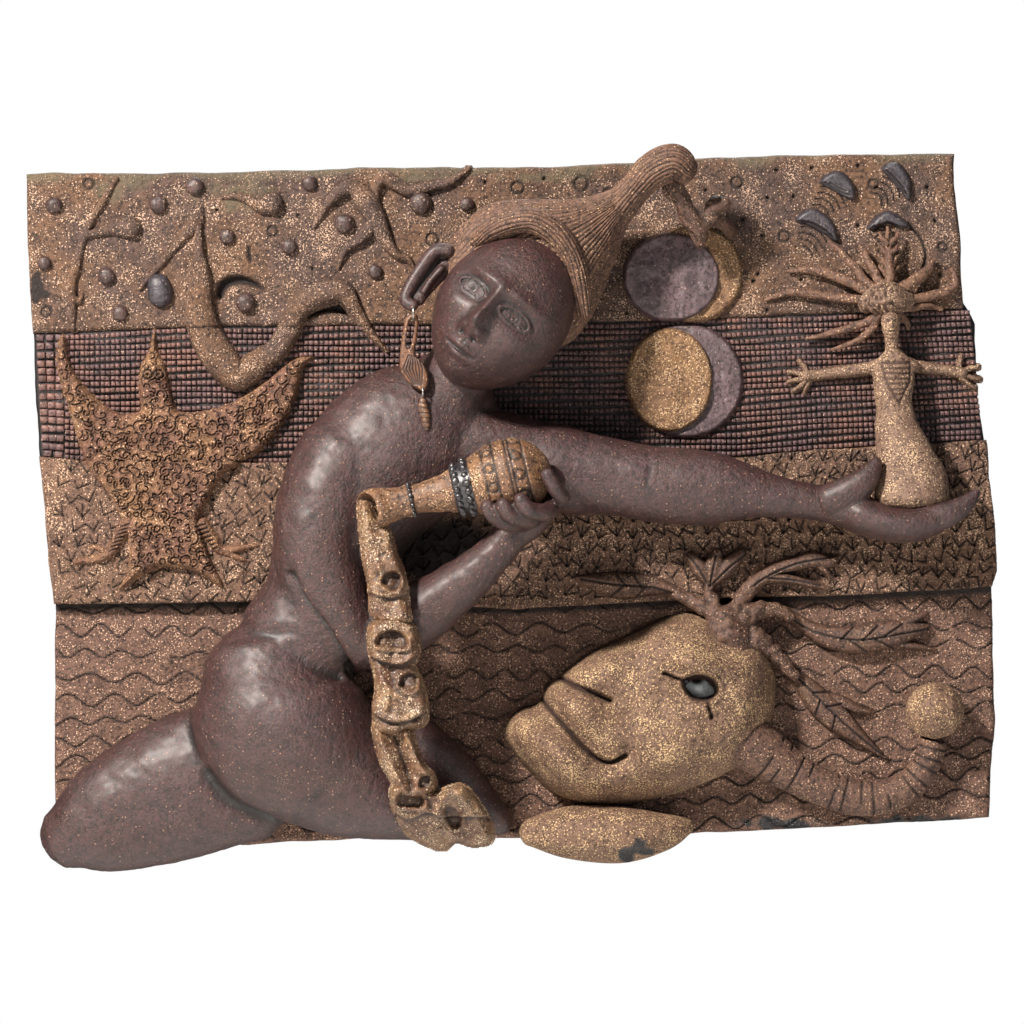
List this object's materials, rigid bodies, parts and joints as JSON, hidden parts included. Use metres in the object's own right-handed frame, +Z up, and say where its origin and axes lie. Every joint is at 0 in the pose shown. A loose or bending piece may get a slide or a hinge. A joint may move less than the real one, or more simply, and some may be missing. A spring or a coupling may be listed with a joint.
{
  "type": "stoneware relief plaque",
  "caption": "Wall-hung stoneware relief: a kneeling figure pours water over lapped textured slabs, with a great profile head, plants, moons, a bird and a swinging earring.",
  "frame": {"origin": "middle of the plaque's flat back, where it rests on the wall", "axes": "+X to the right of the picture, +Y into the wall, +Z up; the relief faces -Y"},
  "size_m": [0.633, 0.1303, 0.4662],
  "materials": {
    "iron_wash": "iron-washed stoneware, burnished to a satin sheen",
    "speckled_clay": "bare grogged stoneware with pale flecks",
    "ochre_clay": "ochre-washed stoneware",
    "leaf_wash": "thin iron wash over stoneware",
    "slate_glaze": "thin dark slip glaze",
    "pale_glaze": "glossy pale glaze",
    "steel_wire": "bright drawn wire"
  },
  "bodies": {
    "plaque": {"sky_slab": "speckled_clay", "woven_slab": "iron_wash", "arrow_slab": "speckled_clay", "water_slab": "speckled_clay", "torso": "iron_wash", "neck": "iron_wash", "head": "iron_wash", "ear": "iron_wash", "hair_cap": "ochre_clay", "hair_tail": "ochre_clay", "hair_twig": "ochre_clay", "upper_arm": "iron_wash", "forearm": "iron_wash", "pouring_hand": "iron_wash", "reaching_arm": "iron_wash", "open_hand": "iron_wash", "hip": "iron_wash", "far_thigh": "iron_wash", "shin": "iron_wash", "bottle_body": "ochre_clay", "bottle_collar": "slate_glaze", "bottle_neck": "speckled_clay", "bottle_spout": "speckled_clay", "pour_upper": "ochre_clay", "pour_middle": "ochre_clay", "pour_lower": "ochre_clay", "pour_splash": "ochre_clay", "profile_head": "speckled_clay", "profile_eye": "pale_glaze", "neck_mound": "speckled_clay", "crown_stem": "leaf_wash", "leaf_left": "leaf_wash", "leaf_fan": "leaf_wash", "leaf_fork": "leaf_wash", "leaf_right": "leaf_wash", "leaf_low": "leaf_wash", "tail": "ochre_clay", "tail_ball": "ochre_clay", "root_body": "speckled_clay", "root_arm_left": "speckled_clay", "root_arm_right": "speckled_clay", "root_head": "speckled_clay", "root_hair": "ochre_clay", "upper_moon_dark": "slate_glaze", "upper_moon_ochre": "ochre_clay", "lower_moon_dark": "slate_glaze", "lower_moon_ochre": "ochre_clay", "cap_moon_1": "slate_glaze", "cap_moon_2": "slate_glaze", "cap_moon_3": "slate_glaze", "cap_moon_4": "slate_glaze", "bird": "ochre_clay", "bent_limbs": "ochre_clay", "comet": "ochre_clay", "stick_figure": "ochre_clay", "sky_stick": "ochre_clay", "sky_coil": "ochre_clay"},
    "earring": {"ear_wire": "steel_wire", "earring_pendant": "ochre_clay"},
    "drop": {"earring_drop": "ochre_clay"}
  },
  "joints": [
    {"name": "earring_swing", "type": "hinge", "parent": "plaque", "child": "earring", "pos_m": [-0.063, -0.076, 0.126], "axis": [-1, 0, 0], "range_deg": [0, 45]},
    {"name": "drop_swing", "type": "hinge", "parent": "earring", "child": "drop", "pos_m": [-0.057, -0.076, 0.0755], "axis": [-1, 0, 0], "range_deg": [-8, 40]}
  ]
}
